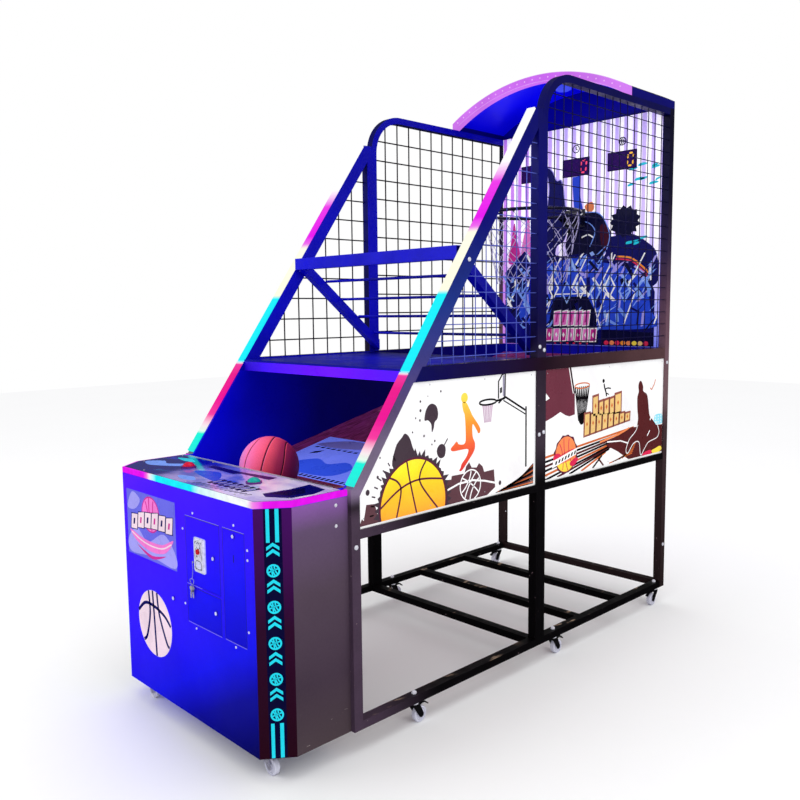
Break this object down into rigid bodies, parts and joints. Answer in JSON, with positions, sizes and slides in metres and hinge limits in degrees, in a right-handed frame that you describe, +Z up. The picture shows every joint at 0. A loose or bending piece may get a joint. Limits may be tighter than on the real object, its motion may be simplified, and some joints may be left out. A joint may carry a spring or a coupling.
{
  "type": "basketball hoop machine",
  "caption": "Coin-operated arcade basketball machine with a lit cabinet, ball lane, caged tower, backboard, hoop and castered steel frame.",
  "frame": {"origin": "middle of the footprint, on the floor under the casters", "axes": "+Z up, +X to the player's right, -Y towards the player"},
  "size_m": [1.045, 2.414, 2.604],
  "materials": {
    "black_frame": "black powder coat, scuffed on the rail tops",
    "wire_mesh": "black coated wire",
    "printed_panel": "printed composite board",
    "lane_board": "dark blue board",
    "beam_light": "violet lit face",
    "ramp_board": "wine-red laminated board",
    "backboard": "printed clear board",
    "rim_metal": "dark blue powder coat",
    "net_cord": "knotted cord",
    "roof_sheet": "dark blue powder coat",
    "arch_lens": "lilac light lens",
    "lamp_lens": "frosted lens",
    "display": "dark red display window",
    "light_tube": "coloured light tube",
    "cabinet_blue": "board with blue enamel",
    "deck_print": "glossy printed top",
    "door_blue": "blue enamel",
    "chrome": "polished",
    "red_plastic": "moulded",
    "green_plastic": "moulded",
    "violet_plastic": "moulded",
    "steel": "zinc plated",
    "board_green": "circuit board and casings",
    "black_plastic": "moulded",
    "ball_rubber": "pebbled rubber",
    "caster_black": "black enamel",
    "caster_tread": "clear polyurethane"
  },
  "bodies": {
    "machine": {"front_frame_left": "black_frame", "front_frame_right": "black_frame", "rear_frame_left": "black_frame", "rear_frame_right": "black_frame", "crossbars": "black_frame", "ball_guard": "black_frame", "lane_beam": "beam_light", "lane_cover": "lane_board", "lane_walls": "lane_board", "front_meshes": "wire_mesh", "rear_meshes": "wire_mesh", "front_panels": "printed_panel", "rear_panels": "printed_panel", "ball_ramp": "ramp_board", "backboard": "backboard", "rim": "rim_metal", "net": "net_cord", "hoop_sensor": "black_plastic", "roof": "roof_sheet", "arch_light": "arch_lens", "ceiling_lamp": "lamp_lens", "score_displays": "display", "arm_lights": "light_tube", "deck_light": "light_tube", "cabinet": "cabinet_blue", "deck": "deck_print", "cash_box": "steel", "electronics_tray": "board_green", "button_housings": "violet_plastic", "gate_actuator": "black_plastic", "frame_bolts": "steel"},
    "coin_door": {"coin_door": "door_blue", "coin_acceptor": "chrome"},
    "cash_door": {"cash_door": "door_blue"},
    "service_door": {"service_door": "door_blue"},
    "coin_return": {"coin_return_button": "red_plastic"},
    "coin_lock": {"coin_lock": "chrome"},
    "cash_lock": {"cash_lock": "chrome"},
    "service_lock": {"service_lock": "chrome"},
    "power_key": {"power_key": "chrome"},
    "red_button": {"red_button": "red_plastic"},
    "green_button": {"green_button": "green_plastic"},
    "ball_gate": {"ball_gate": "steel"},
    "ball": {"ball": "ball_rubber"},
    "cabinet_left_swivel": {"cabinet_left_fork": "caster_black"},
    "cabinet_left_wheel": {"cabinet_left_wheel": "caster_tread"},
    "cabinet_right_swivel": {"cabinet_right_fork": "caster_black"},
    "cabinet_right_wheel": {"cabinet_right_wheel": "caster_tread"},
    "left_front_swivel": {"left_front_fork": "caster_black"},
    "left_front_wheel": {"left_front_wheel": "caster_tread"},
    "left_middle_swivel": {"left_middle_fork": "caster_black"},
    "left_middle_wheel": {"left_middle_wheel": "caster_tread"},
    "left_rear_swivel": {"left_rear_fork": "caster_black"},
    "left_rear_wheel": {"left_rear_wheel": "caster_tread"},
    "right_front_swivel": {"right_front_fork": "caster_black"},
    "right_front_wheel": {"right_front_wheel": "caster_tread"},
    "right_middle_swivel": {"right_middle_fork": "caster_black"},
    "right_middle_wheel": {"right_middle_wheel": "caster_tread"},
    "right_rear_swivel": {"right_rear_fork": "caster_black"},
    "right_rear_wheel": {"right_rear_wheel": "caster_tread"}
  },
  "joints": [
    {"name": "coin_door_hinge", "type": "hinge", "parent": "machine", "child": "coin_door", "pos_m": [0.038, -1.194, 0.68], "axis": [0, 0, -1], "range_deg": [0, 100]},
    {"name": "cash_door_hinge", "type": "hinge", "parent": "machine", "child": "cash_door", "pos_m": [0.038, -1.194, 0.49], "axis": [0, 0, -1], "range_deg": [0, 100]},
    {"name": "service_door_hinge", "type": "hinge", "parent": "machine", "child": "service_door", "pos_m": [0.364, -1.194, 0.613], "axis": [0, 0, 1], "range_deg": [0, 100]},
    {"name": "coin_lock_turn", "type": "hinge", "parent": "coin_door", "child": "coin_lock", "pos_m": [0.195, -1.192, 0.681], "axis": [0, -1, 0], "range_deg": [0, 90]},
    {"name": "cash_lock_turn", "type": "hinge", "parent": "cash_door", "child": "cash_lock", "pos_m": [0.203, -1.192, 0.498], "axis": [0, -1, 0], "range_deg": [0, 90]},
    {"name": "service_lock_turn", "type": "hinge", "parent": "service_door", "child": "service_lock", "pos_m": [0.316, -1.192, 0.779], "axis": [0, 1, 0], "range_deg": [0, 90]},
    {"name": "power_key_turn", "type": "hinge", "parent": "machine", "child": "power_key", "pos_m": [-0.077, -1.192, 0.481], "axis": [0, 1, 0], "range_deg": [0, 90]},
    {"name": "coin_return_press", "type": "slide", "parent": "coin_door", "child": "coin_return", "axis": [0, 1, 0], "range_m": [0, 0.004]},
    {"name": "red_button_press", "type": "slide", "parent": "machine", "child": "red_button", "axis": [0, 0, -1], "range_m": [0, 0.004]},
    {"name": "green_button_press", "type": "slide", "parent": "machine", "child": "green_button", "axis": [0, 0, -1], "range_m": [0, 0.004]},
    {"name": "ball_gate_lift", "type": "slide", "parent": "machine", "child": "ball_gate", "axis": [0, 0, 1], "range_m": [0, 0.06]},
    {"name": "ball_lift", "type": "slide", "parent": "machine", "child": "ball", "axis": [0, 0, 1], "range_m": [0, 0.25]},
    {"name": "cabinet_left_swivel_turn", "type": "hinge", "parent": "machine", "child": "cabinet_left_swivel", "pos_m": [-0.385, -1.138, 0.07], "axis": [0, 0, 1], "continuous": true},
    {"name": "cabinet_left_wheel_roll", "type": "hinge", "parent": "cabinet_left_swivel", "child": "cabinet_left_wheel", "pos_m": [-0.361, -1.138, 0.03], "axis": [0, 1, 0], "continuous": true},
    {"name": "cabinet_right_swivel_turn", "type": "hinge", "parent": "machine", "child": "cabinet_right_swivel", "pos_m": [0.385, -1.138, 0.07], "axis": [0, 0, 1], "continuous": true},
    {"name": "cabinet_right_wheel_roll", "type": "hinge", "parent": "cabinet_right_swivel", "child": "cabinet_right_wheel", "pos_m": [0.409, -1.138, 0.03], "axis": [0, 1, 0], "continuous": true},
    {"name": "left_front_swivel_turn", "type": "hinge", "parent": "machine", "child": "left_front_swivel", "pos_m": [-0.499, -0.58, 0.07], "axis": [0, 0, 1], "continuous": true},
    {"name": "left_front_wheel_roll", "type": "hinge", "parent": "left_front_swivel", "child": "left_front_wheel", "pos_m": [-0.499, -0.556, 0.03], "axis": [1, 0, 0], "continuous": true},
    {"name": "left_middle_swivel_turn", "type": "hinge", "parent": "machine", "child": "left_middle_swivel", "pos_m": [-0.499, 0.27, 0.07], "axis": [0, 0, 1], "continuous": true},
    {"name": "left_middle_wheel_roll", "type": "hinge", "parent": "left_middle_swivel", "child": "left_middle_wheel", "pos_m": [-0.499, 0.294, 0.03], "axis": [1, 0, 0], "continuous": true},
    {"name": "left_rear_swivel_turn", "type": "hinge", "parent": "machine", "child": "left_rear_swivel", "pos_m": [-0.499, 1.135, 0.07], "axis": [0, 0, 1], "continuous": true},
    {"name": "left_rear_wheel_roll", "type": "hinge", "parent": "left_rear_swivel", "child": "left_rear_wheel", "pos_m": [-0.499, 1.111, 0.03], "axis": [1, 0, 0], "continuous": true},
    {"name": "right_front_swivel_turn", "type": "hinge", "parent": "machine", "child": "right_front_swivel", "pos_m": [0.499, -0.58, 0.07], "axis": [0, 0, 1], "continuous": true},
    {"name": "right_front_wheel_roll", "type": "hinge", "parent": "right_front_swivel", "child": "right_front_wheel", "pos_m": [0.499, -0.556, 0.03], "axis": [1, 0, 0], "continuous": true},
    {"name": "right_middle_swivel_turn", "type": "hinge", "parent": "machine", "child": "right_middle_swivel", "pos_m": [0.499, 0.27, 0.07], "axis": [0, 0, 1], "continuous": true},
    {"name": "right_middle_wheel_roll", "type": "hinge", "parent": "right_middle_swivel", "child": "right_middle_wheel", "pos_m": [0.499, 0.294, 0.03], "axis": [1, 0, 0], "continuous": true},
    {"name": "right_rear_swivel_turn", "type": "hinge", "parent": "machine", "child": "right_rear_swivel", "pos_m": [0.499, 1.135, 0.07], "axis": [0, 0, 1], "continuous": true},
    {"name": "right_rear_wheel_roll", "type": "hinge", "parent": "right_rear_swivel", "child": "right_rear_wheel", "pos_m": [0.499, 1.111, 0.03], "axis": [1, 0, 0], "continuous": true}
  ]
}
